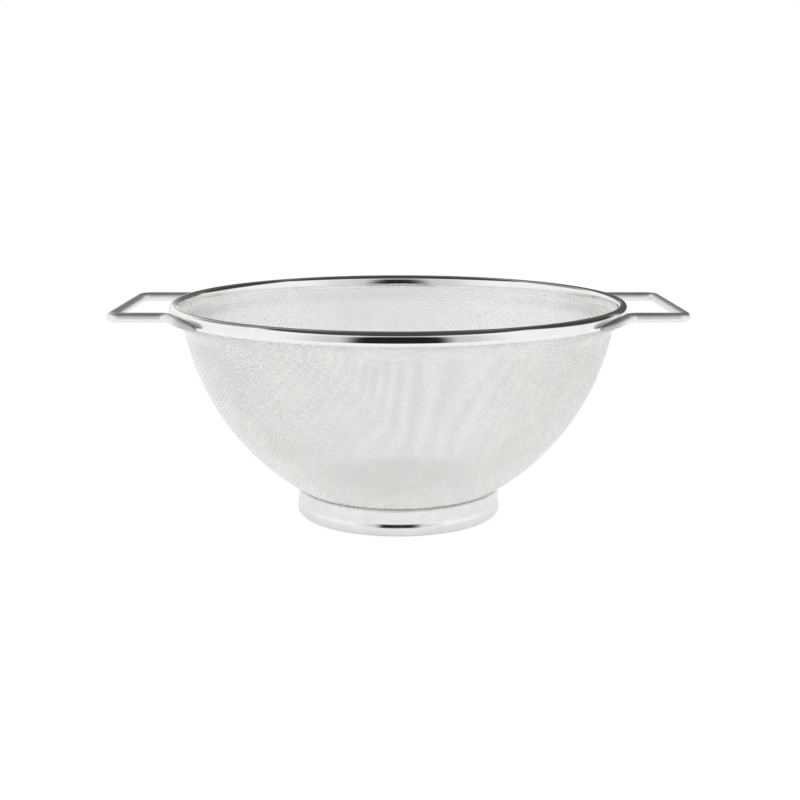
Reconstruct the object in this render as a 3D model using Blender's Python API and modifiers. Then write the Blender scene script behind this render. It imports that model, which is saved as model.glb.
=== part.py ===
"""Wire cloth colander on a ring foot, with two welded wire handles.

Metres, +Z up. The origin is the centre of the foot's base, and the handles lie along X.
"""

import math

import bpy
from mathutils import Vector
from mathutils.geometry import interpolate_bezier

# Whole object
OVERALL_HEIGHT = 0.1146
RIM_OUTER_RADIUS = 0.1200

# Rim: a strip rolled round a hoop wire and closed on the edge of the cloth
BEAD_WIDTH = 0.0052
BEAD_HEIGHT = 0.0072
BEAD_SHEET = 0.0005

# Bowl: wire cloth, pressed from one flat piece
CLOTH_THICKNESS = 0.0008
MOUTH_FLARE = 0.0042
MOUTH_DROP = 0.0120
WALL_ARC_RADIUS = 0.1281
CLOTH_STRAIGHT = 0.0006
CREASE_BLEND = 0.0030
CREASE_INSET = 0.0006

# Foot: a sheet ring with a flange under the cloth and a rolled lower edge
FOOT_HEIGHT = 0.0137
FOOT_WALL_RADIUS = 0.0542
FOOT_SHEET = 0.0008
FOOT_BEND_RADIUS = 0.0020
FOOT_FLANGE = 0.0054
FOOT_FLARE = 0.0005
FOOT_FLARE_HEIGHT = 0.0030
FOOT_ROLL_RADIUS = 0.0017
FOOT_REST = 0.0014
FOOT_ROLL_TURN = 230

# Handles: one bent wire each, whose two tails lie along the rim
HANDLE_WIRE = 0.0050
HANDLE_REACH = 0.0264
HANDLE_ARM_SPACING = 0.0860
HANDLE_CORNER_RADIUS = 0.0050
HANDLE_TAIL_BEND = 0.0060
HANDLE_TAIL_LENGTH = 0.0330
HANDLE_DROP = 0.0006

# Weld beads, one under each tail
WELD_LENGTH = 0.0160
WELD_RADIUS = 0.0008
WELD_END_SHARE = 0.35

# Clearance that touching solids keep
FIT_GAP = 0.0003

# Facets
TURN_STEPS = 64
TUBE_SIDES = 8
ARC_STEPS = 4
CURVE_POINTS = 5
WALL_STEPS = 9
TAIL_STEPS = 7

# Share of a smooth run that each of its two handles takes
CURVE_PULL = 0.4

# Worked out from the sizes above
BEAD_RADIUS = BEAD_WIDTH / 2
BEAD_CENTRE = RIM_OUTER_RADIUS - BEAD_RADIUS
BEAD_MID_HEIGHT = OVERALL_HEIGHT - BEAD_HEIGHT / 2
BEAD_TOP_CENTRE = OVERALL_HEIGHT - BEAD_RADIUS
BEAD_LOW_CENTRE = OVERALL_HEIGHT - BEAD_HEIGHT + BEAD_RADIUS
BEAD_BOTTOM = OVERALL_HEIGHT - BEAD_HEIGHT
HOOP_RADIUS = BEAD_RADIUS - BEAD_SHEET - FIT_GAP
CLOTH_EDGE_RADIUS = RIM_OUTER_RADIUS - BEAD_WIDTH + BEAD_SHEET + FIT_GAP + CLOTH_THICKNESS / 2
MOUTH_RADIUS = CLOTH_EDGE_RADIUS - MOUTH_FLARE
CLOTH_TOP = BEAD_TOP_CENTRE - HOOP_RADIUS - FIT_GAP
CLOTH_FLOOR = FOOT_HEIGHT + FIT_GAP + CLOTH_THICKNESS / 2
CREASE_RADIUS = FOOT_WALL_RADIUS - FOOT_BEND_RADIUS - CREASE_INSET
WIRE_RADIUS = HANDLE_WIRE / 2
TAIL_CENTRE = RIM_OUTER_RADIUS + FIT_GAP + WIRE_RADIUS
HANDLE_HEIGHT = BEAD_MID_HEIGHT - HANDLE_DROP


def clear_scene():
    for obj in list(bpy.data.objects):
        bpy.data.objects.remove(obj, do_unlink=True)


def steel(name, colour, roughness):
    """A stainless steel as a Principled BSDF, for one sub-part."""
    material = bpy.data.materials.new(name)
    material.use_nodes = True
    shader = material.node_tree.nodes["Principled BSDF"]
    shader.inputs["Base Color"].default_value = (*colour, 1.0)
    shader.inputs["Metallic"].default_value = 1.0
    shader.inputs["Roughness"].default_value = roughness
    return material


def arc(centre, radius, start, end, steps):
    """Points of an arc in its plane, with the angles in degrees."""
    points = []
    for step in range(steps + 1):
        angle = math.radians(start + (end - start) * step / steps)
        points.append((centre[0] + radius * math.cos(angle), centre[1] + radius * math.sin(angle)))
    return points


def smooth_run(start, start_angle, end, end_angle):
    """Points of a smooth curve in the plane of a profile, leaving and arriving at angles in radians."""
    pull = CURVE_PULL * math.dist(start, end)
    leave = (start[0] + pull * math.cos(start_angle), start[1] + pull * math.sin(start_angle))
    arrive = (end[0] - pull * math.cos(end_angle), end[1] - pull * math.sin(end_angle))
    knots = [Vector((x, z, 0.0)) for x, z in (start, leave, arrive, end)]
    return [(point.x, point.y) for point in interpolate_bezier(*knots, CURVE_POINTS)]


def turned_sheet(name, profile, thickness, material, collection):
    """A sheet turned about Z, from the middle line of its section, given as (radius, height)."""
    mesh = bpy.data.meshes.new(name)
    edges = [(index, index + 1) for index in range(len(profile) - 1)]
    mesh.from_pydata([(radius, 0.0, height) for radius, height in profile], edges, [])
    mesh.materials.append(material)
    obj = bpy.data.objects.new(name, mesh)
    collection.objects.link(obj)
    turn = obj.modifiers.new("turn", "SCREW")
    turn.axis = "Z"
    turn.steps = TURN_STEPS
    turn.render_steps = TURN_STEPS
    turn.use_merge_vertices = True
    turn.merge_threshold = 0.00001
    turn.use_smooth_shade = True
    wall = obj.modifiers.new("wall", "SOLIDIFY")
    wall.thickness = thickness
    wall.offset = 0.0
    wall.use_even_offset = True
    wall.use_quality_normals = True
    return obj


def bent_wire(name, points, radius, material, collection, tapers=None):
    """A round wire along a chain of points, with a share of its radius at each where it tapers."""
    curve = bpy.data.curves.new(name, "CURVE")
    curve.dimensions = "3D"
    curve.bevel_depth = radius
    curve.bevel_resolution = TUBE_SIDES // 2 - 2
    curve.use_fill_caps = True
    spline = curve.splines.new("POLY")
    spline.points.add(len(points) - 1)
    for index, place in enumerate(points):
        spline.points[index].co = (*place, 1.0)
        spline.points[index].radius = tapers[index] if tapers else 1.0
    spline.use_smooth = True
    curve.materials.append(material)
    obj = bpy.data.objects.new(name, curve)
    collection.objects.link(obj)
    return obj


def bowl_profile():
    """Middle line of the cloth, from its top edge in the rim to the centre of its flat floor."""
    mouth = (MOUTH_RADIUS, BEAD_MID_HEIGHT - MOUTH_DROP)
    crease = (CREASE_RADIUS, CLOTH_FLOOR)
    chord = math.dist(mouth, crease)
    middle = ((mouth[0] + crease[0]) / 2, (mouth[1] + crease[1]) / 2)
    inward = ((crease[1] - mouth[1]) / chord, (mouth[0] - crease[0]) / chord)
    setback = math.sqrt(WALL_ARC_RADIUS**2 - (chord / 2) ** 2)
    centre = (middle[0] + inward[0] * setback, middle[1] + inward[1] * setback)
    top_angle = math.atan2(mouth[1] - centre[1], mouth[0] - centre[0])
    low_angle = math.atan2(crease[1] - centre[1], crease[0] - centre[0]) + CREASE_BLEND / WALL_ARC_RADIUS
    wall = arc(centre, WALL_ARC_RADIUS, math.degrees(top_angle), math.degrees(low_angle), WALL_STEPS)

    entry = (CLOTH_EDGE_RADIUS, BEAD_BOTTOM - CLOTH_STRAIGHT)
    flare = smooth_run(entry, -math.pi / 2, mouth, top_angle - math.pi / 2)

    floor_edge = (CREASE_RADIUS - CREASE_BLEND, CLOTH_FLOOR)
    fold = smooth_run(wall[-1], low_angle - math.pi / 2, floor_edge, math.pi)
    return [(CLOTH_EDGE_RADIUS, CLOTH_TOP)] + flare[:-1] + wall[:-1] + fold + [(0.0, CLOTH_FLOOR)]


def bead_profile():
    """Middle line of the rim strip: up its inner side, over the hoop, down its outer side and under."""
    radius = BEAD_RADIUS - BEAD_SHEET / 2
    inner_foot = (BEAD_CENTRE - radius, BEAD_BOTTOM)
    lip = CLOTH_EDGE_RADIUS + CLOTH_THICKNESS / 2 + FIT_GAP
    lip_angle = math.degrees(math.acos((lip - BEAD_CENTRE) / radius))
    over = arc((BEAD_CENTRE, BEAD_TOP_CENTRE), radius, 180, 0, 2 * ARC_STEPS)
    under = arc((BEAD_CENTRE, BEAD_LOW_CENTRE), radius, 0, -lip_angle, ARC_STEPS)
    return [inner_foot] + over + under


def foot_profile():
    """Middle line of the foot: flange, bend, wall, slight flare, then the edge rolled under and in."""
    half = FOOT_SHEET / 2
    bend = FOOT_BEND_RADIUS - half
    roll = FOOT_ROLL_RADIUS - half
    flange_height = FOOT_HEIGHT - half
    wall = FOOT_WALL_RADIUS - half
    bend_centre = (wall - bend, flange_height - bend)
    lip = wall + FOOT_FLARE
    roll_height = half + roll
    flare_top = roll_height + FOOT_FLARE_HEIGHT
    flare = smooth_run((wall, flare_top), -math.pi / 2, (lip, roll_height), -math.pi / 2)
    outer_roll = arc((lip - roll, roll_height), roll, 0, -90, ARC_STEPS)
    inner_roll = arc((lip - roll - FOOT_REST, roll_height), roll, -90, -FOOT_ROLL_TURN, ARC_STEPS)
    flange = [(wall - bend - FOOT_FLANGE, flange_height)]
    return flange + arc(bend_centre, bend, 90, 0, ARC_STEPS) + flare + outer_roll[1:] + inner_roll


def handle_path(side):
    """Centre line of a handle, from the end of its front tail to the end of its rear one."""
    half_arm = HANDLE_ARM_SPACING / 2
    bar = RIM_OUTER_RADIUS + HANDLE_REACH - WIRE_RADIUS
    bend_y = half_arm + HANDLE_TAIL_BEND
    bend_x = math.sqrt((TAIL_CENTRE + HANDLE_TAIL_BEND) ** 2 - bend_y**2)
    touch = math.degrees(math.atan2(bend_y, bend_x))
    tail_end = touch + math.degrees(HANDLE_TAIL_LENGTH / TAIL_CENTRE)
    corner_x = bar - HANDLE_CORNER_RADIUS
    corner_y = half_arm - HANDLE_CORNER_RADIUS
    tail = arc((0.0, 0.0), TAIL_CENTRE, tail_end, touch, TAIL_STEPS)
    bend = arc((bend_x, bend_y), HANDLE_TAIL_BEND, 180 + touch, 270, ARC_STEPS)
    corner = arc((corner_x, corner_y), HANDLE_CORNER_RADIUS, 90, 0, ARC_STEPS)
    rear_half = tail + bend[1:] + corner
    front_half = [(x, -y) for x, y in rear_half]
    outline = front_half + rear_half[::-1]
    return [(side * x, y, HANDLE_HEIGHT) for x, y in outline]


def weld_path(side, end):
    """Centre line of a weld bead, in the groove under a tail, where it clears both by the same gap."""
    to_bead = BEAD_RADIUS + FIT_GAP + WELD_RADIUS
    to_tail = WIRE_RADIUS + FIT_GAP + WELD_RADIUS
    across = TAIL_CENTRE - BEAD_CENTRE
    rise = HANDLE_HEIGHT - BEAD_LOW_CENTRE
    spread = math.hypot(across, rise)
    along = (to_bead**2 - to_tail**2 + spread**2) / (2 * spread)
    below = math.sqrt(to_bead**2 - along**2)
    radius = BEAD_CENTRE + (across * along + rise * below) / spread
    height = BEAD_LOW_CENTRE + (rise * along - across * below) / spread

    bend_y = HANDLE_ARM_SPACING / 2 + HANDLE_TAIL_BEND
    touch = math.asin(bend_y / (TAIL_CENTRE + HANDLE_TAIL_BEND))
    middle = touch + HANDLE_TAIL_LENGTH / TAIL_CENTRE / 2
    sweep = WELD_LENGTH / TAIL_CENTRE
    points = []
    for step in range(TAIL_STEPS):
        angle = middle + sweep * (step / (TAIL_STEPS - 1) - 0.5)
        points.append((side * radius * math.cos(angle), end * radius * math.sin(angle), height))
    return points


def weld_tapers():
    """Share of the weld's radius at each point: full in the middle, thin at the ends."""
    shares = []
    for step in range(TAIL_STEPS):
        offset = abs(2 * step / (TAIL_STEPS - 1) - 1)
        shares.append(WELD_END_SHARE + (1 - WELD_END_SHARE) * math.sqrt(1 - offset**2))
    return shares


def make_mesh_bowl(collection):
    cloth = steel("woven_stainless_cloth", (0.62, 0.62, 0.61), 0.35)
    turned_sheet("mesh_bowl", bowl_profile(), CLOTH_THICKNESS, cloth, collection)


def make_rim(collection):
    polished = steel("rim_polished_stainless", (0.80, 0.80, 0.79), 0.08)
    turned_sheet("rim_bead", bead_profile(), BEAD_SHEET, polished, collection)
    bpy.ops.mesh.primitive_torus_add(
        major_radius=BEAD_CENTRE,
        minor_radius=HOOP_RADIUS,
        major_segments=TURN_STEPS,
        minor_segments=TUBE_SIDES,
        location=(0.0, 0.0, BEAD_TOP_CENTRE),
    )
    hoop = bpy.context.object
    hoop.name = "rim_hoop_wire"
    hoop.data.shade_smooth()
    hoop.data.materials.append(steel("hoop_drawn_steel", (0.55, 0.55, 0.54), 0.40))
    for holder in list(hoop.users_collection):
        holder.objects.unlink(hoop)
    collection.objects.link(hoop)


def make_foot(collection):
    polished = steel("foot_polished_stainless", (0.80, 0.80, 0.79), 0.10)
    turned_sheet("foot_ring", foot_profile(), FOOT_SHEET, polished, collection)


def make_handles(collection):
    wire = steel("handle_polished_wire", (0.80, 0.80, 0.79), 0.10)
    weld = steel("weld_bare_stainless", (0.60, 0.59, 0.57), 0.35)
    for side_name, side in (("left", -1), ("right", 1)):
        bent_wire(f"{side_name}_handle", handle_path(side), WIRE_RADIUS, wire, collection)
        for end_name, end in (("front", -1), ("rear", 1)):
            name = f"{side_name}_{end_name}_weld"
            bent_wire(name, weld_path(side, end), WELD_RADIUS, weld, collection, weld_tapers())


def main():
    clear_scene()
    collection = bpy.data.collections.new("colander")
    bpy.context.scene.collection.children.link(collection)
    make_mesh_bowl(collection)
    make_rim(collection)
    make_foot(collection)
    make_handles(collection)


main()
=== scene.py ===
"""A wire cloth colander: woven steel bowl, rolled rim, ring foot and two wire handles, on a white table."""

import math

import bmesh
import bpy
import numpy as np
from mathutils import Matrix, Vector
from mathutils.geometry import interpolate_bezier


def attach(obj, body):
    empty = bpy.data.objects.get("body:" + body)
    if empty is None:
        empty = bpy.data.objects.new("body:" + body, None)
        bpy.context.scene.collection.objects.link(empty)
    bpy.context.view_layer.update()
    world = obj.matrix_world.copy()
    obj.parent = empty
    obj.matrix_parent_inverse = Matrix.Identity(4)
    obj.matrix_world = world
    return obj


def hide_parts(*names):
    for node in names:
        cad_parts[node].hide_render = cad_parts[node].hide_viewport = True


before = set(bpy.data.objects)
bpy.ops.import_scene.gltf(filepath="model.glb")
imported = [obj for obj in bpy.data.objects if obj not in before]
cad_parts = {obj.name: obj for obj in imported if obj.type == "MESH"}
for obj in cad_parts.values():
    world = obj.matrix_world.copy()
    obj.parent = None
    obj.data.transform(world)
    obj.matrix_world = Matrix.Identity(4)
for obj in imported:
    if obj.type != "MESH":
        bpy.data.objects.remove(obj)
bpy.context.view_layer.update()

MM = 0.001

# Whole object, in metres as all sizes here. Angles are in degrees where nothing else is said
OVERALL_HEIGHT = 0.1146
RIM_OUTER_RADIUS = 0.1200
FIT_GAP = 0.0003

# Rim: its inner side leans in by BEAD_LEAN, and its strip's ends are welded and ground over SEAM_LENGTH
BEAD_WIDTH = 0.0052
BEAD_HEIGHT = 0.0072
BEAD_SHEET = 0.0005
BEAD_LEAN = 4.5
BEAD_EDGE_ROUND = 0.12 * MM
SEAM_LENGTH = 0.0600

# Bowl
CLOTH_THICKNESS = 0.0008
MOUTH_FLARE = 0.0042
MOUTH_DROP = 0.0120
WALL_ARC_RADIUS = 0.1281
CLOTH_STRAIGHT = 0.0006
CREASE_BLEND = 0.0018
CREASE_INSET = -0.0010

# Weave of the cloth: drawn a little coarser than the real 1.15 mm pitch and 0.38 mm wire, and fuller, so
# that it shows at 800 pixels as the photograph shows the real cloth, and not as a flat grey
CLOTH_PITCH = 0.0013
CLOTH_WIRE = 0.00045
CLOTH_SIDES = 6
# How far the wires are turned from 45 degrees to the handles
WEAVE_TURN = 5.0
# How far the wires lie off their even places, as a share of the pitch, and the seed of that
WIRE_STRAY = 0.02
STRAY_SEED = 7
# The fewest crossings on a wire, and the most triangles in a piece of the cloth
SHORTEST_WIRE = 4
PIECE_TRIANGLES = 180000

# Foot: FOOT_BEND_RADIUS is the solid's and places the cloth's crease, while the bend is drawn sharper
FOOT_HEIGHT = 0.0137
FOOT_WALL_RADIUS = 0.0542
FOOT_SHEET = 0.0008
FOOT_BEND_RADIUS = 0.0020
FOOT_SHOWN_BEND = 0.0006
FOOT_FLANGE = 0.0054
FOOT_FLARE = 0.0005
FOOT_FLARE_HEIGHT = 0.0042
FOOT_LIP_HEIGHT = 0.0016
FOOT_ROLL_RADIUS = 0.0017
FOOT_REST = 0.0014
FOOT_ROLL_TURN = 230
FOOT_EDGE_ROUND = 0.15 * MM

# Handles: TAIL_TIP_SHARE is the wire's thickness at a tail's tip, and TIP_ROUND_SHARE how long its rounding
# is, both as shares of the wire's own
HANDLE_WIRE = 0.0050
HANDLE_REACH = 0.02638
HANDLE_ARM_SPACING = 0.0860
HANDLE_CORNER_RADIUS = 0.0050
HANDLE_TAIL_BEND = 0.0060
HANDLE_TAIL_LENGTH = 0.0330
HANDLE_DROP = 0.0006
TAIL_TAPER = 0.0170
TAIL_TIP_SHARE = 0.42
TIP_ROUND_SHARE = 0.3
# Painted shade in the joint under the rim: how far in front of and behind the middle a handle turns grey, and
# is all grey
TAIL_SHADE_START = 0.0560
TAIL_SHADE_FULL = 0.0700

# Welds: beads that thin out to WELD_END_SHARE of their radius at the ends, with RIPPLES of RIPPLE_DEPTH of it
WELD_LENGTH = 0.0160
WELD_RADIUS = 0.0008
WELD_END_SHARE = 0.35
RIPPLES = 18
RIPPLE_DEPTH = 0.03

# Fineness of the shapes
TURN_STEPS = 256
ARC_STEPS = 14
CURVE_POINTS = 20
WALL_STEPS = 60
RUN_STEPS = 4001
HANDLE_SIDES = 20
WELD_SIDES = 12
WELD_STEPS = 61
TIP_STEPS = 4
EDGE_STEPS = 2
# How hard a smooth curve leaves its ends, as a share of the distance between them
CURVE_PULL = 0.4
# Past which angle an edge of a sheet is rounded, and an edge of any piece stays sharp in the shading
EDGE_ANGLE = 50
SHARP_ANGLE = 40
# Points closer than this are one
MERGE_DISTANCE = 1e-6

# Draping the net: rounds of solving, the first guess past a crossing's neighbours as a share of the pitch,
# the most that a round turns a crossing, in radians, and the least determinant that can be divided by
DRAPE_ROUNDS = 12
DRAPE_GUESS = 0.4
DRAPE_TURN = 0.05
DRAPE_LEAST = 1e-14

# Between these two values lies most of a noise texture
NOISE = (0.3, 0.7)

# Table: the paper's front edge, half its width, how bright it shows, how much of that the steel shows, and
# the grey that leaves its shadow faint
PAPER_FRONT = 0.32
PAPER_REACH = 4.0
PAPER_GLOW = 0.93
PAPER_MIRRORED = 0.35
PAPER_SHADE = "#505050"

# Dark places of the tent round the colander, with soft edges. For each: how far its middle is turned from the
# front towards the right, and its height, its outer and its inner reach, all as angles, and how dark it is
TENT_DARKS = (
    (0.0, 73.0, 50.0, 42.0, 0.95),     # the open top
    (118.0, 37.0, 36.0, 22.0, 0.96),   # behind on the right
    (-128.0, 46.0, 26.0, 12.0, 0.72),  # behind on the left
    (158.0, 8.0, 26.0, 12.0, 0.92),    # low at the back
    (172.0, 34.0, 36.0, 22.0, 0.9),    # the back
    (0.0, -20.0, 60.0, 0.0, 0.42),     # below the table's front edge
)
DARK_LEVEL = 0.015

# Gap in the tent round the camera: how far in front it is, its middle's x and z, half its width and height,
# and where its edge starts to fade, as a share of those
GAP_DISTANCE = 0.62
GAP_MIDDLE = (0.004, -0.05)
GAP_HALF = (0.31, 0.37)
GAP_SOFT = 0.6

# Softbox over the table, with its power in watts
SOFTBOX_SIZE = (1.0, 0.7)
SOFTBOX_PLACE = (0.0, -0.2, 1.2)
SOFTBOX_POWER = 2.5

# Camera, as fitted to the photograph: lens and film in millimetres, and shifts in shares of the picture
CAMERA_PLACE = (0.0, -0.6726, 0.1981)
CAMERA_TILT = 11.68
CAMERA_LENS = 57.3
CAMERA_FILM = 36.0
CAMERA_SHIFT = (0.00205, 0.0014)
CAMERA_CLIP = (0.01, 50.0)

# Worked out from the sizes above, in the way that the solids do it
BEAD_RADIUS = BEAD_WIDTH / 2
BEAD_CENTRE = RIM_OUTER_RADIUS - BEAD_RADIUS
BEAD_MID_HEIGHT = OVERALL_HEIGHT - BEAD_HEIGHT / 2
BEAD_TOP_CENTRE = OVERALL_HEIGHT - BEAD_RADIUS
BEAD_LOW_CENTRE = OVERALL_HEIGHT - BEAD_HEIGHT + BEAD_RADIUS
BEAD_BOTTOM = OVERALL_HEIGHT - BEAD_HEIGHT
HOOP_RADIUS = BEAD_RADIUS - BEAD_SHEET - FIT_GAP
CLOTH_EDGE_RADIUS = RIM_OUTER_RADIUS - BEAD_WIDTH + BEAD_SHEET + FIT_GAP + CLOTH_THICKNESS / 2
MOUTH_RADIUS = CLOTH_EDGE_RADIUS - MOUTH_FLARE
CLOTH_TOP = BEAD_TOP_CENTRE - HOOP_RADIUS - FIT_GAP
CLOTH_FLOOR = FOOT_HEIGHT + FIT_GAP + CLOTH_THICKNESS / 2
CREASE_RADIUS = FOOT_WALL_RADIUS - FOOT_BEND_RADIUS - CREASE_INSET
WIRE_RADIUS = HANDLE_WIRE / 2
TAIL_CENTRE = RIM_OUTER_RADIUS + FIT_GAP + WIRE_RADIUS
HANDLE_HEIGHT = BEAD_MID_HEIGHT - HANDLE_DROP


def arc(centre, radius, start, end, steps):
    """Points of an arc in its plane, with the angles in degrees."""
    points = []
    for step in range(steps + 1):
        angle = math.radians(start + (end - start) * step / steps)
        points.append((centre[0] + radius * math.cos(angle), centre[1] + radius * math.sin(angle)))
    return points


def smooth_run(start, start_angle, end, end_angle):
    """Points of a smooth curve in the plane of a profile, leaving and arriving at angles in radians."""
    pull = CURVE_PULL * math.dist(start, end)
    leave = (start[0] + pull * math.cos(start_angle), start[1] + pull * math.sin(start_angle))
    arrive = (end[0] - pull * math.cos(end_angle), end[1] - pull * math.sin(end_angle))
    knots = [Vector((x, z, 0.0)) for x, z in (start, leave, arrive, end)]
    return [(point.x, point.y) for point in interpolate_bezier(*knots, CURVE_POINTS)]


# Materials


def linear(colour):
    """An sRGB hex value as the linear colour that a node takes."""
    channels = [int(colour[i:i + 2], 16) / 255 for i in (1, 3, 5)]
    return (*[c / 12.92 if c <= 0.04045 else ((c + 0.055) / 1.055) ** 2.4 for c in channels], 1.0)


def add(tree, kind, inputs=(), out=0, **settings):
    """Adds a node with its settings and returns one of its outputs.
    inputs is a list from the first input on, or a dict by name or number.
    Each is a value or another node's output."""
    node = tree.nodes.new(kind)
    for key, value in settings.items():
        setattr(node, key, value)
    for key, value in (inputs if isinstance(inputs, dict) else dict(enumerate(inputs))).items():
        if isinstance(value, bpy.types.NodeSocket):
            tree.links.new(value, node.inputs[key])
        else:
            node.inputs[key].default_value = value
    return node.outputs[out] if node.outputs else node


def new_tree(name):
    """A new material, and its empty node tree."""
    material = bpy.data.materials.new(name)
    material.use_nodes = True
    material.node_tree.nodes.clear()
    return material, material.node_tree


def round_the_axis(tree, along, across):
    """Object coordinates unrolled about Z, counted in along metres round the axis and in across metres
    otherwise. The unrolled strip's ends meet at the left of the colander.
    Also gives the turn about Z, and the distance from it."""
    place = add(tree, "ShaderNodeTexCoord", out="Object")
    parts = add(tree, "ShaderNodeSeparateXYZ", [place]).node.outputs
    turn = add(tree, "ShaderNodeMath", [parts["Y"], parts["X"]], operation="ARCTAN2")
    length = add(tree, "ShaderNodeMath", [turn, RIM_OUTER_RADIUS / along], operation="MULTIPLY")
    flat = add(tree, "ShaderNodeVectorMath", [place, (1.0, 1.0, 0.0)], operation="MULTIPLY")
    radius = add(tree, "ShaderNodeVectorMath", [flat], "Value", operation="LENGTH")
    out = add(tree, "ShaderNodeMath", [radius, across], operation="DIVIDE")
    up = add(tree, "ShaderNodeMath", [parts["Z"], across], operation="DIVIDE")
    return add(tree, "ShaderNodeCombineXYZ", [length, out, up]), turn, radius


def woven_drawn_stainless():
    """Stainless wire, bright drawn and woven: each wire is a soft mirror, a little duller in patches."""
    material, tree = new_tree("woven_drawn_stainless")
    place = add(tree, "ShaderNodeTexCoord", out="Object")
    patches = add(tree, "ShaderNodeTexNoise", {"Vector": place, "Scale": 1 / (14 * MM), "Detail": 3.0})
    share = add(tree, "ShaderNodeMapRange", [patches, *NOISE, 0.0, 1.0])
    colours = {0: share, 6: linear("#FAFAF9"), 7: linear("#FEFEFD")}
    colour = add(tree, "ShaderNodeMix", colours, 2, data_type="RGBA")
    wear = add(tree, "ShaderNodeTexNoise", {"Vector": place, "Scale": 1 / (5 * MM), "Detail": 2.0})
    roughness = add(tree, "ShaderNodeMapRange", [wear, *NOISE, 0.7, 0.8])
    metal = {"Base Color": colour, "Metallic": 1.0, "Roughness": roughness}
    shader = add(tree, "ShaderNodeBsdfPrincipled", metal)
    add(tree, "ShaderNodeOutputMaterial", {"Surface": shader})
    return material


def polished_strip_stainless():
    """Stainless strip, rolled to a rim and mirror-polished along it: faint lines run round it, drawn 0.35 mm
    wide because real ones are too fine to show.
    The ends of the strip are butt-welded at the left, and ground there to a mottled patch."""
    material, tree = new_tree("polished_strip_stainless")
    place = add(tree, "ShaderNodeTexCoord", out="Object")
    lines, turn, _ = round_the_axis(tree, along=25 * MM, across=0.35 * MM)
    streaks = add(tree, "ShaderNodeTexNoise", {"Vector": lines, "Scale": 1.0, "Detail": 3.0})
    handled = add(tree, "ShaderNodeTexNoise", {"Vector": place, "Scale": 1 / (9 * MM), "Detail": 3.0})
    mottle = add(tree, "ShaderNodeTexNoise", {"Vector": place, "Scale": 1 / (1.6 * MM), "Detail": 4.0})
    # Where the ends meet, the turn about Z is half a circle. The patch fades out to both sides of that.
    seam_half = SEAM_LENGTH / 2 / RIM_OUTER_RADIUS
    seam_start, seam_full = math.pi - 1.4 * seam_half, math.pi - 0.6 * seam_half
    aside = add(tree, "ShaderNodeMath", [turn], operation="ABSOLUTE")
    seam = add(tree, "ShaderNodeMapRange", [aside, seam_start, seam_full, 0.0, 1.0])
    lined = add(tree, "ShaderNodeMapRange", [streaks, *NOISE, 0.03, 0.08])
    touched = add(tree, "ShaderNodeMapRange", [handled, 0.4, 0.7, 0.0, 0.04])
    polish = add(tree, "ShaderNodeMath", [lined, touched], operation="ADD")
    ground = add(tree, "ShaderNodeMapRange", [mottle, 0.35, 0.65, 0.18, 0.42])
    roughness = add(tree, "ShaderNodeMix", {0: seam, 2: polish, 3: ground})
    share = add(tree, "ShaderNodeMapRange", [handled, *NOISE, 0.0, 1.0])
    colours = {0: share, 6: linear("#EDEDEC"), 7: linear("#F3F3F2")}
    plain_tone = add(tree, "ShaderNodeMix", colours, 2, data_type="RGBA")
    colour = add(tree, "ShaderNodeMix", {0: seam, 6: plain_tone, 7: linear("#EBEAE8")}, 2, data_type="RGBA")
    relief = add(tree, "ShaderNodeMix", {0: seam, 2: streaks, 3: mottle})
    depth = add(tree, "ShaderNodeMapRange", [seam, 0.0, 1.0, 0.05, 1.0])
    bump = add(tree, "ShaderNodeBump", {"Height": relief, "Distance": 0.05 * MM, "Strength": depth})
    metal = {"Base Color": colour, "Metallic": 1.0, "Roughness": roughness, "Normal": bump}
    shader = add(tree, "ShaderNodeBsdfPrincipled", metal)
    add(tree, "ShaderNodeOutputMaterial", {"Surface": shader})
    return material


def polished_sheet_stainless():
    """Stainless sheet, turned into the ring foot and buffed bright: faint lines run round it, drawn 0.5 mm
    wide because real ones are too fine to show.
    The wheel doesn't reach the bend under the cloth, so that stays satin and shows as a soft light line."""
    material, tree = new_tree("polished_sheet_stainless")
    place = add(tree, "ShaderNodeTexCoord", out="Object")
    lines, _, radius = round_the_axis(tree, along=18 * MM, across=0.5 * MM)
    streaks = add(tree, "ShaderNodeTexNoise", {"Vector": lines, "Scale": 1.0, "Detail": 3.0})
    handled = add(tree, "ShaderNodeTexNoise", {"Vector": place, "Scale": 1 / (7 * MM), "Detail": 3.0})
    lined = add(tree, "ShaderNodeMapRange", [streaks, *NOISE, 0.06, 0.13])
    touched = add(tree, "ShaderNodeMapRange", [handled, 0.4, 0.7, 0.0, 0.06])
    buffed = add(tree, "ShaderNodeMath", [lined, touched], operation="ADD")
    # The buffing fades out below the top of the foot, on its outer side alone.
    height = add(tree, "ShaderNodeSeparateXYZ", [place], "Z")
    satin_start, satin_full = FOOT_HEIGHT - 1.4 * MM, FOOT_HEIGHT - 0.7 * MM
    high = add(tree, "ShaderNodeMapRange", [height, satin_start, satin_full, 0.0, 1.0])
    outer_start, outer_full = FOOT_WALL_RADIUS - 2 * MM, FOOT_WALL_RADIUS - MM
    outer = add(tree, "ShaderNodeMapRange", [radius, outer_start, outer_full, 0.0, 1.0])
    bend = add(tree, "ShaderNodeMath", [high, outer], operation="MULTIPLY")
    roughness = add(tree, "ShaderNodeMix", {0: bend, 2: buffed, 3: 0.7})
    share = add(tree, "ShaderNodeMapRange", [handled, *NOISE, 0.0, 1.0])
    colours = {0: share, 6: linear("#ECECEB"), 7: linear("#F4F4F3")}
    colour = add(tree, "ShaderNodeMix", colours, 2, data_type="RGBA")
    bump = add(tree, "ShaderNodeBump", {"Height": streaks, "Distance": 0.004 * MM, "Strength": 0.6})
    metal = {"Base Color": colour, "Metallic": 1.0, "Roughness": roughness, "Normal": bump}
    shader = add(tree, "ShaderNodeBsdfPrincipled", metal)
    add(tree, "ShaderNodeOutputMaterial", {"Surface": shader})
    return material


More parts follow.
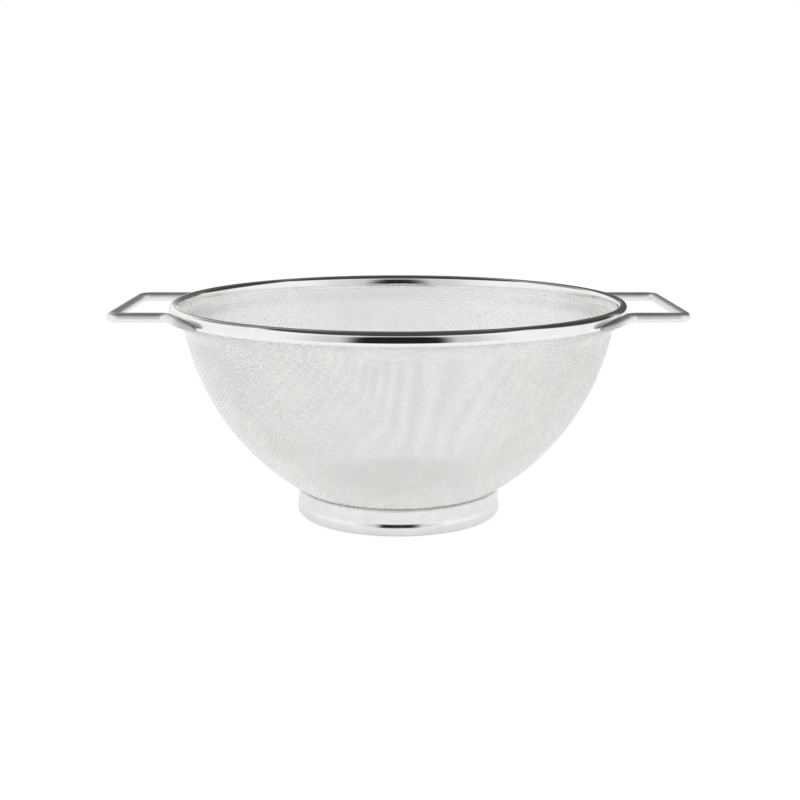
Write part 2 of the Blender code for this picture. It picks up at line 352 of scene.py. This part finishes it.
def polished_wire_stainless():
    """Stainless wire, bent cold and tumble-polished: a soft sheen, with an orange peel that is drawn 0.8 mm
    coarse because the real one is too fine to show.
    The tails are painted grey: painted shade, where they lie in the joint under the rim."""
    material, tree = new_tree("polished_wire_stainless")
    place = add(tree, "ShaderNodeTexCoord", out="Object")
    peel = add(tree, "ShaderNodeTexNoise", {"Vector": place, "Scale": 1 / (0.8 * MM), "Detail": 2.0})
    handled = add(tree, "ShaderNodeTexNoise", {"Vector": place, "Scale": 1 / (10 * MM), "Detail": 3.0})
    roughness = add(tree, "ShaderNodeMapRange", [handled, *NOISE, 0.44, 0.52])
    share = add(tree, "ShaderNodeMapRange", [handled, *NOISE, 0.0, 1.0])
    colours = {0: share, 6: linear("#EFEFEE"), 7: linear("#F6F6F5")}
    plain_tone = add(tree, "ShaderNodeMix", colours, 2, data_type="RGBA")
    # Painted shade: towards the tails the wire is painted a darker grey, for the shade in the joint where
    # they lie under the rim.
    aside = add(tree, "ShaderNodeSeparateXYZ", [place], "Y")
    aside = add(tree, "ShaderNodeMath", [aside], operation="ABSOLUTE")
    reach = [aside, TAIL_SHADE_START, TAIL_SHADE_FULL, 0.0, 1.0]
    heat_tint_and_tail_shade = add(tree, "ShaderNodeMapRange", reach, interpolation_type="SMOOTHSTEP")
    colour = add(tree, "ShaderNodeMix", {0: heat_tint_and_tail_shade, 6: plain_tone, 7: linear("#C2C1BF")}, 2, data_type="RGBA")
    bump = add(tree, "ShaderNodeBump", {"Height": peel, "Distance": 0.004 * MM, "Strength": 0.5})
    metal = {"Base Color": colour, "Metallic": 1.0, "Roughness": roughness, "Normal": bump}
    shader = add(tree, "ShaderNodeBsdfPrincipled", metal)
    add(tree, "ShaderNodeOutputMaterial", {"Surface": shader})
    return material


def drawn_hoop_steel():
    """Plain drawn wire, hidden in the rim: grey and satin, with die lines round the hoop that are drawn
    0.2 mm wide, coarser than real ones."""
    material, tree = new_tree("drawn_hoop_steel")
    lines, _, _ = round_the_axis(tree, along=30 * MM, across=0.2 * MM)
    streaks = add(tree, "ShaderNodeTexNoise", {"Vector": lines, "Scale": 1.0, "Detail": 2.0})
    colours = {0: streaks, 6: linear("#B2B2B0"), 7: linear("#C4C4C2")}
    colour = add(tree, "ShaderNodeMix", colours, 2, data_type="RGBA")
    roughness = add(tree, "ShaderNodeMapRange", [streaks, 0.0, 1.0, 0.3, 0.45])
    metal = {"Base Color": colour, "Metallic": 1.0, "Roughness": roughness}
    shader = add(tree, "ShaderNodeBsdfPrincipled", metal)
    add(tree, "ShaderNodeOutputMaterial", {"Surface": shader})
    return material


def bare_weld_steel():
    """Weld metal left as laid and wire-brushed: satin, with a faint straw tint where it was hottest.
    The grain of the brush is drawn 0.3 mm coarse because the real one is too fine to show."""
    material, tree = new_tree("bare_weld_steel")
    place = add(tree, "ShaderNodeTexCoord", out="Object")
    heat_tint_and_tail_shade = add(tree, "ShaderNodeTexNoise", {"Vector": place, "Scale": 1 / (3 * MM), "Detail": 2.0})
    grain = add(tree, "ShaderNodeTexNoise", {"Vector": place, "Scale": 1 / (0.3 * MM), "Detail": 3.0})
    share = add(tree, "ShaderNodeMapRange", [heat_tint_and_tail_shade, 0.4, 0.7, 0.0, 1.0])
    colours = {0: share, 6: linear("#EAE9E6"), 7: linear("#E2DACB")}
    colour = add(tree, "ShaderNodeMix", colours, 2, data_type="RGBA")
    roughness = add(tree, "ShaderNodeMapRange", [grain, 0.0, 1.0, 0.45, 0.6])
    bump = add(tree, "ShaderNodeBump", {"Height": grain, "Distance": 0.02 * MM, "Strength": 0.5})
    metal = {"Base Color": colour, "Metallic": 1.0, "Roughness": roughness, "Normal": bump}
    shader = add(tree, "ShaderNodeBsdfPrincipled", metal)
    add(tree, "ShaderNodeOutputMaterial", {"Surface": shader})
    return material


# Making pieces


def linked(name, data):
    """A new object in the scene, at the origin."""
    thing = bpy.data.objects.new(name, data)
    bpy.context.scene.collection.objects.link(thing)
    return thing


def placed(name, mesh, material, slot, *nodes):
    """Shows a finished mesh as a piece of the colander that stands for these CAD nodes."""
    piece = linked(name, mesh)
    mesh.materials.clear()
    mesh.materials.append(material)
    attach(piece, "root")
    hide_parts(*nodes)


def as_mesh(name, bm):
    """A finished bmesh as a mesh."""
    mesh = bpy.data.meshes.new(name)
    bm.to_mesh(mesh)
    bm.free()
    return mesh


def applied(source):
    """The mesh that an object shows, as a mesh of its own. The object is then removed."""
    bpy.context.view_layer.update()
    shown = source.evaluated_get(bpy.context.evaluated_depsgraph_get())
    mesh = bpy.data.meshes.new_from_object(shown)
    bpy.data.objects.remove(source)
    return mesh


def shaded(mesh):
    """The mesh shaded smooth, apart from its sharp edges."""
    mesh.shade_smooth()
    mesh.set_sharp_from_angle(angle=math.radians(SHARP_ANGLE))
    return mesh


def turned_sheet(profile, thickness, edge_round):
    """A sheet turned about Z from the middle line of its section, with its edges rounded."""
    bm = bmesh.new()
    verts = [bm.verts.new((radius, 0.0, height)) for radius, height in profile]
    edges = [bm.edges.new(pair) for pair in zip(verts, verts[1:])]
    bmesh.ops.spin(
        bm, geom=verts + edges, cent=(0, 0, 0), axis=(0, 0, 1), dvec=(0, 0, 0),
        angle=2 * math.pi, steps=TURN_STEPS, use_merge=True, use_duplicate=False,
    )
    bmesh.ops.remove_doubles(bm, verts=bm.verts, dist=MERGE_DISTANCE)
    bmesh.ops.recalc_face_normals(bm, faces=bm.faces)
    sheet = linked("sheet", as_mesh("sheet", bm))
    wall = sheet.modifiers.new("wall", "SOLIDIFY")
    wall.thickness = thickness
    wall.offset = 0.0
    wall.use_even_offset = True
    wall.use_quality_normals = True
    edge = sheet.modifiers.new("edge", "BEVEL")
    edge.width = edge_round
    edge.segments = EDGE_STEPS
    edge.limit_method = "ANGLE"
    edge.angle_limit = math.radians(EDGE_ANGLE)
    return shaded(applied(sheet))


def wires(lines, radius, sides, tapers=None):
    """Round wires along chains of points, as one mesh."""
    curve = bpy.data.curves.new("wires", "CURVE")
    curve.dimensions = "3D"
    curve.bevel_depth = radius
    curve.bevel_resolution = sides // 2 - 2
    curve.use_fill_caps = True
    for points in lines:
        spline = curve.splines.new("POLY")
        spline.points.add(len(points) - 1)
        spline.points.foreach_set("co", np.c_[points, np.ones(len(points))].astype(np.float32).ravel())
        if tapers is not None:
            spline.points.foreach_set("radius", np.asarray(tapers, np.float32))
        spline.use_smooth = True
    mesh = applied(linked("wires", curve))
    mesh.shade_smooth()
    return mesh


def closed(mesh):
    """The mesh with its loose caps welded on."""
    bm = bmesh.new()
    bm.from_mesh(mesh)
    bmesh.ops.remove_doubles(bm, verts=bm.verts, dist=MERGE_DISTANCE)
    bmesh.ops.recalc_face_normals(bm, faces=bm.faces)
    bm.to_mesh(mesh)
    bm.free()
    return shaded(mesh)


# The bowl


def bowl_line():
    """Middle line of the cloth from the centre of its floor to its top edge, as (radius, height)."""
    mouth = (MOUTH_RADIUS, BEAD_MID_HEIGHT - MOUTH_DROP)
    crease = (CREASE_RADIUS, CLOTH_FLOOR)
    chord = math.dist(mouth, crease)
    middle = ((mouth[0] + crease[0]) / 2, (mouth[1] + crease[1]) / 2)
    inward = ((crease[1] - mouth[1]) / chord, (mouth[0] - crease[0]) / chord)
    setback = math.sqrt(WALL_ARC_RADIUS**2 - (chord / 2) ** 2)
    centre = (middle[0] + inward[0] * setback, middle[1] + inward[1] * setback)
    top_angle = math.atan2(mouth[1] - centre[1], mouth[0] - centre[0])
    low_angle = math.atan2(crease[1] - centre[1], crease[0] - centre[0]) + CREASE_BLEND / WALL_ARC_RADIUS
    wall = arc(centre, WALL_ARC_RADIUS, math.degrees(top_angle), math.degrees(low_angle), WALL_STEPS)
    entry = (CLOTH_EDGE_RADIUS, BEAD_BOTTOM - CLOTH_STRAIGHT)
    flare = smooth_run(entry, -math.pi / 2, mouth, top_angle - math.pi / 2)
    floor_edge = (CREASE_RADIUS - CREASE_BLEND, CLOTH_FLOOR)
    fold = smooth_run(wall[-1], low_angle - math.pi / 2, floor_edge, math.pi)
    line = [(CLOTH_EDGE_RADIUS, CLOTH_TOP)] + flare[:-1] + wall[:-1] + fold + [(0.0, CLOTH_FLOOR)]
    return np.array(line[::-1])


class BowlSurface:
    """The cloth's middle surface, by the distance from its centre along the cloth and the angle round Z.
    Past its top edge it goes on straight up."""

    def __init__(self):
        line = bowl_line()
        run = np.r_[0.0, np.cumsum(np.hypot(*np.diff(line, axis=0).T))]
        self.edge = run[-1]
        self.run = np.linspace(0.0, self.edge, RUN_STEPS)
        self.radius = np.interp(self.run, run, line[:, 0])
        self.height = np.interp(self.run, run, line[:, 1])
        self.outward = np.gradient(self.radius, self.run)
        self.upward = np.gradient(self.height, self.run)

    def point(self, along, turn):
        """Where the cloth lies."""
        radius = np.interp(along, self.run, self.radius)
        height = np.interp(along, self.run, self.height) + np.maximum(along - self.edge, 0.0)
        return np.stack([radius * np.cos(turn), radius * np.sin(turn), height], -1)

    def slopes(self, along, turn):
        """How the point moves with the distance and with the angle."""
        radius = np.interp(along, self.run, self.radius)
        past = along > self.edge
        out = np.where(past, 0.0, np.interp(along, self.run, self.outward))
        up = np.where(past, 1.0, np.interp(along, self.run, self.upward))
        by_along = np.stack([out * np.cos(turn), out * np.sin(turn), up], -1)
        by_turn = np.stack([-radius * np.sin(turn), radius * np.cos(turn), 0 * radius], -1)
        return by_along, by_turn

    def normal(self, along, turn):
        """Towards the inside of the bowl."""
        out = np.interp(along, self.run, self.outward)
        up = np.interp(along, self.run, self.upward)
        normal = np.stack([-up * np.cos(turn), -up * np.sin(turn), out], -1)
        return normal / np.linalg.norm(normal, axis=-1, keepdims=True)


def draped_quarter(surface, pitch):
    """Where the crossings of a square net lie when it is draped on the bowl, for the quarter between two of
    its wires. Every crossing keeps its distance to its neighbours, so the cells shear between the two wires
    and stay square along them."""
    count = int(surface.edge / pitch) + 2
    along = np.full((count + 1, count + 1), np.nan)
    turn = np.full((count + 1, count + 1), np.nan)
    steps = np.arange(count + 1)
    along[0, :] = along[:, 0] = steps * pitch
    turn[0, :], turn[:, 0], turn[0, 0] = math.pi / 2, 0.0, math.pi / 4
    for diagonal in range(2, 2 * count + 1):
        i = np.arange(max(1, diagonal - count), min(count, diagonal - 1) + 1)
        j = diagonal - i
        first = surface.point(along[i - 1, j], turn[i - 1, j])
        second = surface.point(along[i, j - 1], turn[i, j - 1])
        guess = first + second - surface.point(along[i - 1, j - 1], turn[i - 1, j - 1])
        angle = np.arctan2(guess[:, 1], guess[:, 0])
        distance = np.maximum(along[i - 1, j], along[i, j - 1]) + DRAPE_GUESS * pitch
        # Both distances are solved for together, from how each changes along the cloth and round it.
        for _ in range(DRAPE_ROUNDS):
            here = surface.point(distance, angle)
            by_along, by_turn = surface.slopes(distance, angle)
            off_first = ((here - first) ** 2).sum(-1) - pitch**2
            off_second = ((here - second) ** 2).sum(-1) - pitch**2
            first_along = 2 * ((here - first) * by_along).sum(-1)
            first_round = 2 * ((here - first) * by_turn).sum(-1)
            second_along = 2 * ((here - second) * by_along).sum(-1)
            second_round = 2 * ((here - second) * by_turn).sum(-1)
            whole = first_along * second_round - first_round * second_along
            whole = np.where(np.abs(whole) < DRAPE_LEAST, np.nan, whole)
            step = (off_first * second_round - off_second * first_round) / whole
            twist = (first_along * off_second - second_along * off_first) / whole
            distance = distance - np.clip(step, -pitch, pitch)
            angle = angle - np.clip(twist, -DRAPE_TURN, DRAPE_TURN)
        along[i, j], turn[i, j] = distance, angle
    return along, turn


def cloth_wires():
    """Centre lines of the wires of both directions, each going over and under the wires that it crosses."""
    surface = BowlSurface()
    along, turn = draped_quarter(surface, CLOTH_PITCH)
    count = along.shape[0] - 1
    steps = np.arange(-count, count + 1)
    i, j = np.meshgrid(steps, steps, indexing="ij")
    far, part = along[abs(i), abs(j)], turn[abs(i), abs(j)]
    # The two wires through the centre lie near 45 degrees to the handles, and each quarter mirrors the next.
    fore = np.where(j >= 0, part, -part)
    aft = np.where(j >= 0, math.pi - part, math.pi + part)
    angle = np.where(i >= 0, fore, aft) + math.radians(45 + WEAVE_TURN)
    there = np.isfinite(far) & (far <= surface.edge)
    far = np.where(there, far, 0.0)
    side = np.where((i + j) % 2 == 0, 1.0, -1.0)[..., None] * CLOTH_WIRE / 2
    middle, normal = surface.point(far, angle), surface.normal(far, angle)
    # No wire lies quite midway between its neighbours, which shows as long faint lines along the weave.
    amid = there.copy()
    for step, axis in ((1, 0), (-1, 0), (1, 1), (-1, 1)):
        amid &= np.roll(there, step, axis)
    stray = np.random.default_rng(STRAY_SEED).normal(0.0, WIRE_STRAY, (2, len(steps)))
    for axis, offset in ((0, stray[0][:, None, None]), (1, stray[1][None, :, None])):
        middle = middle + np.where(amid[..., None], offset * np.gradient(middle, axis=axis), 0.0)
    families = []
    for direction in (1, -1):
        places, shown = middle + direction * side * normal, there
        if direction < 0:
            places, shown = places.transpose(1, 0, 2), shown.T
        lines = []
        for k in range(len(steps)):
            crossings = np.flatnonzero(shown[:, k])
            if len(crossings) >= SHORTEST_WIRE:
                lines.append(places[crossings[0]:crossings[-1] + 1, k])
        families.append(lines)
    return families


def flat_map(mesh):
    """A map of the piece for textures: the bowl seen as if its wall were opened out flat."""
    place = np.zeros(len(mesh.vertices) * 3, np.float32)
    mesh.vertices.foreach_get("co", place)
    place = place.reshape(-1, 3)
    radius = np.maximum(np.hypot(place[:, 0], place[:, 1]), MERGE_DISTANCE)
    reach = radius + place[:, 2] - CLOTH_FLOOR
    # The map's width has room for the opened wall, and for a hundredth more.
    whole = 2.02 * (RIM_OUTER_RADIUS + OVERALL_HEIGHT - CLOTH_FLOOR)
    flat = 0.5 + place[:, :2] * (reach / radius)[:, None] / whole
    corners = np.zeros(len(mesh.loops), np.int32)
    mesh.loops.foreach_get("vertex_index", corners)
    while mesh.uv_layers:
        mesh.uv_layers.remove(mesh.uv_layers[0])
    layer = mesh.uv_layers.new(name="OFBake")
    layer.uv.foreach_set("vector", flat[corners].astype(np.float32).ravel())


def make_cloth():
    """The bowl as real wires, in pieces of neighbouring wires."""
    material = woven_drawn_stainless()
    for name, lines in zip(("warp", "weft"), cloth_wires()):
        batches, room = [[]], 0
        for line in lines:
            # Triangles of a wire: two for each side of each stretch, and its two caps
            cost = 2 * CLOTH_SIDES * (len(line) - 1) + 2 * (CLOTH_SIDES - 2)
            if room + cost > PIECE_TRIANGLES:
                batches.append([])
                room = 0
            batches[-1].append(line)
            room += cost
        for index, batch in enumerate(batches):
            mesh = wires(batch, CLOTH_WIRE / 2, CLOTH_SIDES)
            flat_map(mesh)
            placed(f"cloth_{name}_{index + 1}", mesh, material, "woven_cloth", "mesh_bowl")


# Rim and foot


def rim_profile():
    """Middle line of the rim strip: up its inner side, over the hoop, down its outer side and under.
    The inner side leans in a little, so that from low in front it shows the light above the near rim."""
    radius = BEAD_RADIUS - BEAD_SHEET / 2
    lip = CLOTH_EDGE_RADIUS + CLOTH_THICKNESS / 2 + FIT_GAP
    lip_angle = math.degrees(math.acos((lip - BEAD_CENTRE) / radius))
    over = arc((BEAD_CENTRE, BEAD_TOP_CENTRE), radius, 180 - BEAD_LEAN, 0, 2 * ARC_STEPS)
    under = arc((BEAD_CENTRE, BEAD_LOW_CENTRE), radius, 0, -lip_angle, ARC_STEPS)
    top_in, top_up = over[0]
    low_in = top_in - (top_up - BEAD_BOTTOM) * math.tan(math.radians(BEAD_LEAN))
    flank = [(low_in, BEAD_BOTTOM), ((low_in + top_in) / 2, (BEAD_BOTTOM + top_up) / 2)]
    return flank + over + under


def foot_profile():
    """Middle line of the foot: flange, bend, wall, slight flare, then the edge rolled under and in."""
    half = FOOT_SHEET / 2
    bend = FOOT_SHOWN_BEND - half
    roll = FOOT_ROLL_RADIUS - half
    flange_height = FOOT_HEIGHT - half
    wall = FOOT_WALL_RADIUS - half
    bend_centre = (wall - bend, flange_height - bend)
    lip = wall + FOOT_FLARE
    roll_height = half + roll
    flare_low = roll_height + FOOT_LIP_HEIGHT
    flare_top = (wall, flare_low + FOOT_FLARE_HEIGHT)
    flare = smooth_run(flare_top, -math.pi / 2, (lip, flare_low), -math.pi / 2)
    outer_roll = arc((lip - roll, roll_height), roll, 0, -90, ARC_STEPS)
    inner_roll = arc((lip - roll - FOOT_REST, roll_height), roll, -90, -FOOT_ROLL_TURN, ARC_STEPS)
    flange = [(wall - bend - FOOT_FLANGE, flange_height), (wall - bend - FOOT_FLANGE / 2, flange_height)]
    return flange + arc(bend_centre, bend, 90, 0, ARC_STEPS) + flare + outer_roll + inner_roll


def make_rim():
    mesh = turned_sheet(rim_profile(), BEAD_SHEET, BEAD_EDGE_ROUND)
    placed("rolled_rim", mesh, polished_strip_stainless(), "rim_steel", "rim_bead")


def make_foot():
    mesh = turned_sheet(foot_profile(), FOOT_SHEET, FOOT_EDGE_ROUND)
    placed("ring_foot", mesh, polished_sheet_stainless(), "foot_steel", "foot_ring")


# Handles and welds


def handle_line(side):
    """Centre line of a handle, from the end of its front tail to the end of its rear one, and how thick it
    is there, as a share. The ends of the tails are ground to a taper that lies low against the rim."""
    half_arm = HANDLE_ARM_SPACING / 2
    bar = RIM_OUTER_RADIUS + HANDLE_REACH - WIRE_RADIUS
    bend_y = half_arm + HANDLE_TAIL_BEND
    bend_x = math.sqrt((TAIL_CENTRE + HANDLE_TAIL_BEND) ** 2 - bend_y**2)
    touch = math.degrees(math.atan2(bend_y, bend_x))
    tail_end = touch + math.degrees(HANDLE_TAIL_LENGTH / TAIL_CENTRE)
    tail = arc((0.0, 0.0), TAIL_CENTRE, tail_end, touch, 2 * ARC_STEPS)
    bend = arc((bend_x, bend_y), HANDLE_TAIL_BEND, 180 + touch, 270, ARC_STEPS)
    corner_place = (bar - HANDLE_CORNER_RADIUS, half_arm - HANDLE_CORNER_RADIUS)
    corner = arc(corner_place, HANDLE_CORNER_RADIUS, 90, 0, ARC_STEPS)
    front_half = np.array([(side * x, -y, HANDLE_HEIGHT) for x, y in tail + bend[1:] + corner])
    shares = np.ones(len(front_half))
    from_tip = np.linspace(0.0, HANDLE_TAIL_LENGTH, len(tail))
    swell = np.sqrt(np.clip(from_tip / TAIL_TAPER, 0.0, 1.0))
    shares[:len(tail)] = TAIL_TIP_SHARE + (1 - TAIL_TIP_SHARE) * swell
    lost = (1 - shares) * WIRE_RADIUS
    front_half[:, :2] *= (1 - lost / TAIL_CENTRE)[:, None]
    front_half[:, 2] -= lost
    return np.r_[front_half, front_half[::-1] * (1, -1, 1)], np.r_[shares, shares[::-1]]


def with_round_ends(points, shares, radius):
    """The line with points packed at its ends, and the shares of the radius that round them off there."""
    chain, shares = list(points), list(shares)
    # From a small flat at the tip to the full thickness, in radians
    turns = np.linspace(0.25, math.pi / 2, TIP_STEPS)
    for first, second in ((0, 1), (-1, -2)):
        tip, inner = np.array(chain[first]), np.array(chain[second])
        inward = (inner - tip) / np.linalg.norm(inner - tip)
        places = [tip + inward * radius * (1 - math.cos(turn)) for turn in turns]
        rounded = [math.sin(turn) * shares[first] for turn in turns]
        if first == 0:
            chain[:1], shares[:1] = places, rounded
        else:
            chain[-1:], shares[-1:] = places[::-1], rounded[::-1]
    return np.array(chain), shares


def weld_line(side, end):
    """Centre line of a weld bead, in the groove under a tail."""
    to_bead = BEAD_RADIUS + FIT_GAP + WELD_RADIUS
    to_tail = WIRE_RADIUS + FIT_GAP + WELD_RADIUS
    across = TAIL_CENTRE - BEAD_CENTRE
    rise = HANDLE_HEIGHT - BEAD_LOW_CENTRE
    spread = math.hypot(across, rise)
    along = (to_bead**2 - to_tail**2 + spread**2) / (2 * spread)
    below = math.sqrt(to_bead**2 - along**2)
    radius = BEAD_CENTRE + (across * along + rise * below) / spread
    height = BEAD_LOW_CENTRE + (rise * along - across * below) / spread
    touch = math.asin((HANDLE_ARM_SPACING / 2 + HANDLE_TAIL_BEND) / (TAIL_CENTRE + HANDLE_TAIL_BEND))
    middle = touch + HANDLE_TAIL_LENGTH / TAIL_CENTRE / 2
    points = []
    for step in range(WELD_STEPS):
        angle = middle + WELD_LENGTH / TAIL_CENTRE * (step / (WELD_STEPS - 1) - 0.5)
        points.append((side * radius * math.cos(angle), end * radius * math.sin(angle), height))
    return np.array(points)


def make_handles():
    """Both handles, each with a weld bead under each of its tails."""
    wire = polished_wire_stainless()
    weld = bare_weld_steel()
    place = np.linspace(-1, 1, WELD_STEPS)
    taper = WELD_END_SHARE + (1 - WELD_END_SHARE) * np.sqrt(1 - place**2)
    ripple = 1 - RIPPLE_DEPTH * np.abs(np.sin(math.pi * RIPPLES / 2 * place))
    for side_name, side in (("left", -1), ("right", 1)):
        line, shares = with_round_ends(*handle_line(side), WIRE_RADIUS * TIP_ROUND_SHARE)
        mesh = closed(wires([line], WIRE_RADIUS, HANDLE_SIDES, shares))
        placed(f"{side_name}_wire_handle", mesh, wire, "handle_steel", f"{side_name}_handle")
        for end_name, end in (("front", -1), ("rear", 1)):
            mesh = closed(wires([weld_line(side, end)], WELD_RADIUS, WELD_SIDES, taper * ripple))
            node = f"{side_name}_{end_name}_weld"
            placed(f"{side_name}_{end_name}_weld_bead", mesh, weld, "weld_steel", node)


def finish_hoop():
    """The hoop keeps its own shape, since the rim hides it."""
    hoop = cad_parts["rim_hoop_wire"]
    hoop.data.materials.clear()
    hoop.data.materials.append(drawn_hoop_steel())


# Table, light and camera


def make_table():
    """A sheet of white paper. To the eye it shows as plain white with a faint shadow, and in the steel partly
    so. Inside the ring foot it has only the light that comes in through the cloth, and so looks grey."""
    material, tree = new_tree("white_paper")
    path = add(tree, "ShaderNodeLightPath").node.outputs
    rays = [path["Is Glossy Ray"], path["Is Transmission Ray"]]
    mirrored = add(tree, "ShaderNodeMath", rays, operation="MAXIMUM")
    mirrored = add(tree, "ShaderNodeMath", [mirrored, PAPER_MIRRORED], operation="MULTIPLY")
    seen = add(tree, "ShaderNodeMath", [path["Is Camera Ray"], mirrored], operation="MAXIMUM")
    place = add(tree, "ShaderNodeTexCoord", out="Object")
    reach = add(tree, "ShaderNodeVectorMath", [place], "Value", operation="LENGTH")
    inside = FOOT_WALL_RADIUS - 2 * MM
    outside = add(tree, "ShaderNodeMapRange", [reach, inside, FOOT_WALL_RADIUS, 0.0, 1.0])
    seen = add(tree, "ShaderNodeMath", [seen, outside], operation="MULTIPLY")
    lit = add(tree, "ShaderNodeBsdfDiffuse", {"Color": linear("#F2F2F2")})
    shade = add(tree, "ShaderNodeBsdfDiffuse", {"Color": linear(PAPER_SHADE)})
    glow = add(tree, "ShaderNodeEmission", {"Color": linear("#FFFFFF"), "Strength": PAPER_GLOW})
    shown = add(tree, "ShaderNodeAddShader", [shade, glow])
    both = add(tree, "ShaderNodeMixShader", [seen, lit, shown])
    add(tree, "ShaderNodeOutputMaterial", {"Surface": both})
    bm = bmesh.new()
    bmesh.ops.create_grid(bm, x_segments=1, y_segments=1, size=PAPER_REACH)
    bmesh.ops.translate(bm, verts=bm.verts, vec=(0.0, PAPER_REACH - PAPER_FRONT, 0.0))
    mesh = as_mesh("table", bm)
    mesh.materials.append(material)
    table = linked("table", mesh)


def first_mirrored(tree, depth):
    """One for a ray that has met metal once, and nought for all others.
    depth is 1 on a card and 2 in the sky, which counts a ray's depth one higher."""
    path = add(tree, "ShaderNodeLightPath").node.outputs
    first = add(tree, "ShaderNodeMath", [path["Ray Depth"], depth + 0.5], operation="LESS_THAN")
    return add(tree, "ShaderNodeMath", [path["Is Glossy Ray"], first], operation="MULTIPLY")


def make_camera_gap():
    """The dark gap in the tent's front that the camera looks through: an oval that only the steel shows."""
    material, tree = new_tree("camera_gap_black")
    place = add(tree, "ShaderNodeTexCoord", out="Object")
    spread = (1 / GAP_HALF[0], 0.0, 1 / GAP_HALF[1])
    share = add(tree, "ShaderNodeVectorMath", [place, spread], operation="MULTIPLY")
    reach = add(tree, "ShaderNodeVectorMath", [share], "Value", operation="LENGTH")
    edge = [reach, 1.0, GAP_SOFT, 0.0, 1.0]
    oval = add(tree, "ShaderNodeMapRange", edge, interpolation_type="SMOOTHSTEP")
    shown = add(tree, "ShaderNodeMath", [oval, first_mirrored(tree, 1)], operation="MULTIPLY")
    clear = add(tree, "ShaderNodeBsdfTransparent")
    black = add(tree, "ShaderNodeEmission", {"Color": linear("#FFFFFF"), "Strength": DARK_LEVEL})
    both = add(tree, "ShaderNodeMixShader", [shown, clear, black])
    add(tree, "ShaderNodeOutputMaterial", {"Surface": both})
    bm = bmesh.new()
    bmesh.ops.create_grid(bm, x_segments=1, y_segments=1, size=max(GAP_HALF))
    bmesh.ops.rotate(bm, verts=bm.verts, matrix=Matrix.Rotation(math.pi / 2, 3, "X"))
    mesh = as_mesh("camera_gap", bm)
    mesh.materials.append(material)
    gap = linked("camera_gap", mesh)
    gap.location = (GAP_MIDDLE[0], -GAP_DISTANCE, GAP_MIDDLE[1])
    gap.visible_camera = gap.visible_shadow = gap.visible_diffuse = False


def make_light():
    """A white tent round the colander, which also gives the white background, and a softbox over it.
    The tent has dark places, which only polished steel shows, and only at first hand."""
    world = bpy.data.worlds.new("white_tent")
    bpy.context.scene.world = world
    world.use_nodes = True
    tree = world.node_tree
    tree.nodes.clear()
    way = add(tree, "ShaderNodeTexCoord", out="Generated")
    dark = 0.0
    for turn, rise, outer, inner, depth in TENT_DARKS:
        turn, rise = math.radians(turn), math.radians(rise)
        middle = (math.sin(turn) * math.cos(rise), -math.cos(turn) * math.cos(rise), math.sin(rise))
        near = add(tree, "ShaderNodeVectorMath", [way, middle], "Value", operation="DOT_PRODUCT")
        edge = [near, math.cos(math.radians(outer)), math.cos(math.radians(inner)), 0.0, depth]
        place = add(tree, "ShaderNodeMapRange", edge, interpolation_type="SMOOTHSTEP")
        dark = add(tree, "ShaderNodeMath", [dark, place], operation="MAXIMUM")
    dark = add(tree, "ShaderNodeMath", [dark, first_mirrored(tree, 2)], operation="MULTIPLY")
    strength = add(tree, "ShaderNodeMapRange", [dark, 0.0, 1.0, 1.0, DARK_LEVEL])
    sky = add(tree, "ShaderNodeBackground", {"Color": linear("#FFFFFF"), "Strength": strength})
    add(tree, "ShaderNodeOutputWorld", {"Surface": sky})
    lamp = bpy.data.lights.new("top_softbox", "AREA")
    lamp.shape = "RECTANGLE"
    lamp.size, lamp.size_y = SOFTBOX_SIZE
    lamp.energy = SOFTBOX_POWER
    softbox = linked("top_softbox", lamp)
    softbox.location = SOFTBOX_PLACE
    softbox.visible_glossy = False


def make_camera():
    data = bpy.data.cameras.new("camera")
    data.sensor_width = CAMERA_FILM
    data.lens = CAMERA_LENS
    data.shift_x, data.shift_y = CAMERA_SHIFT
    data.clip_start, data.clip_end = CAMERA_CLIP
    camera = linked("camera", data)
    camera.location = CAMERA_PLACE
    camera.rotation_euler = (math.radians(90 - CAMERA_TILT), 0.0, 0.0)
    bpy.context.scene.camera = camera


make_cloth()
make_rim()
make_foot()
make_handles()
finish_hoop()
make_table()
make_light()
make_camera_gap()
make_camera()
bpy.context.scene.view_settings.view_transform = "Standard"
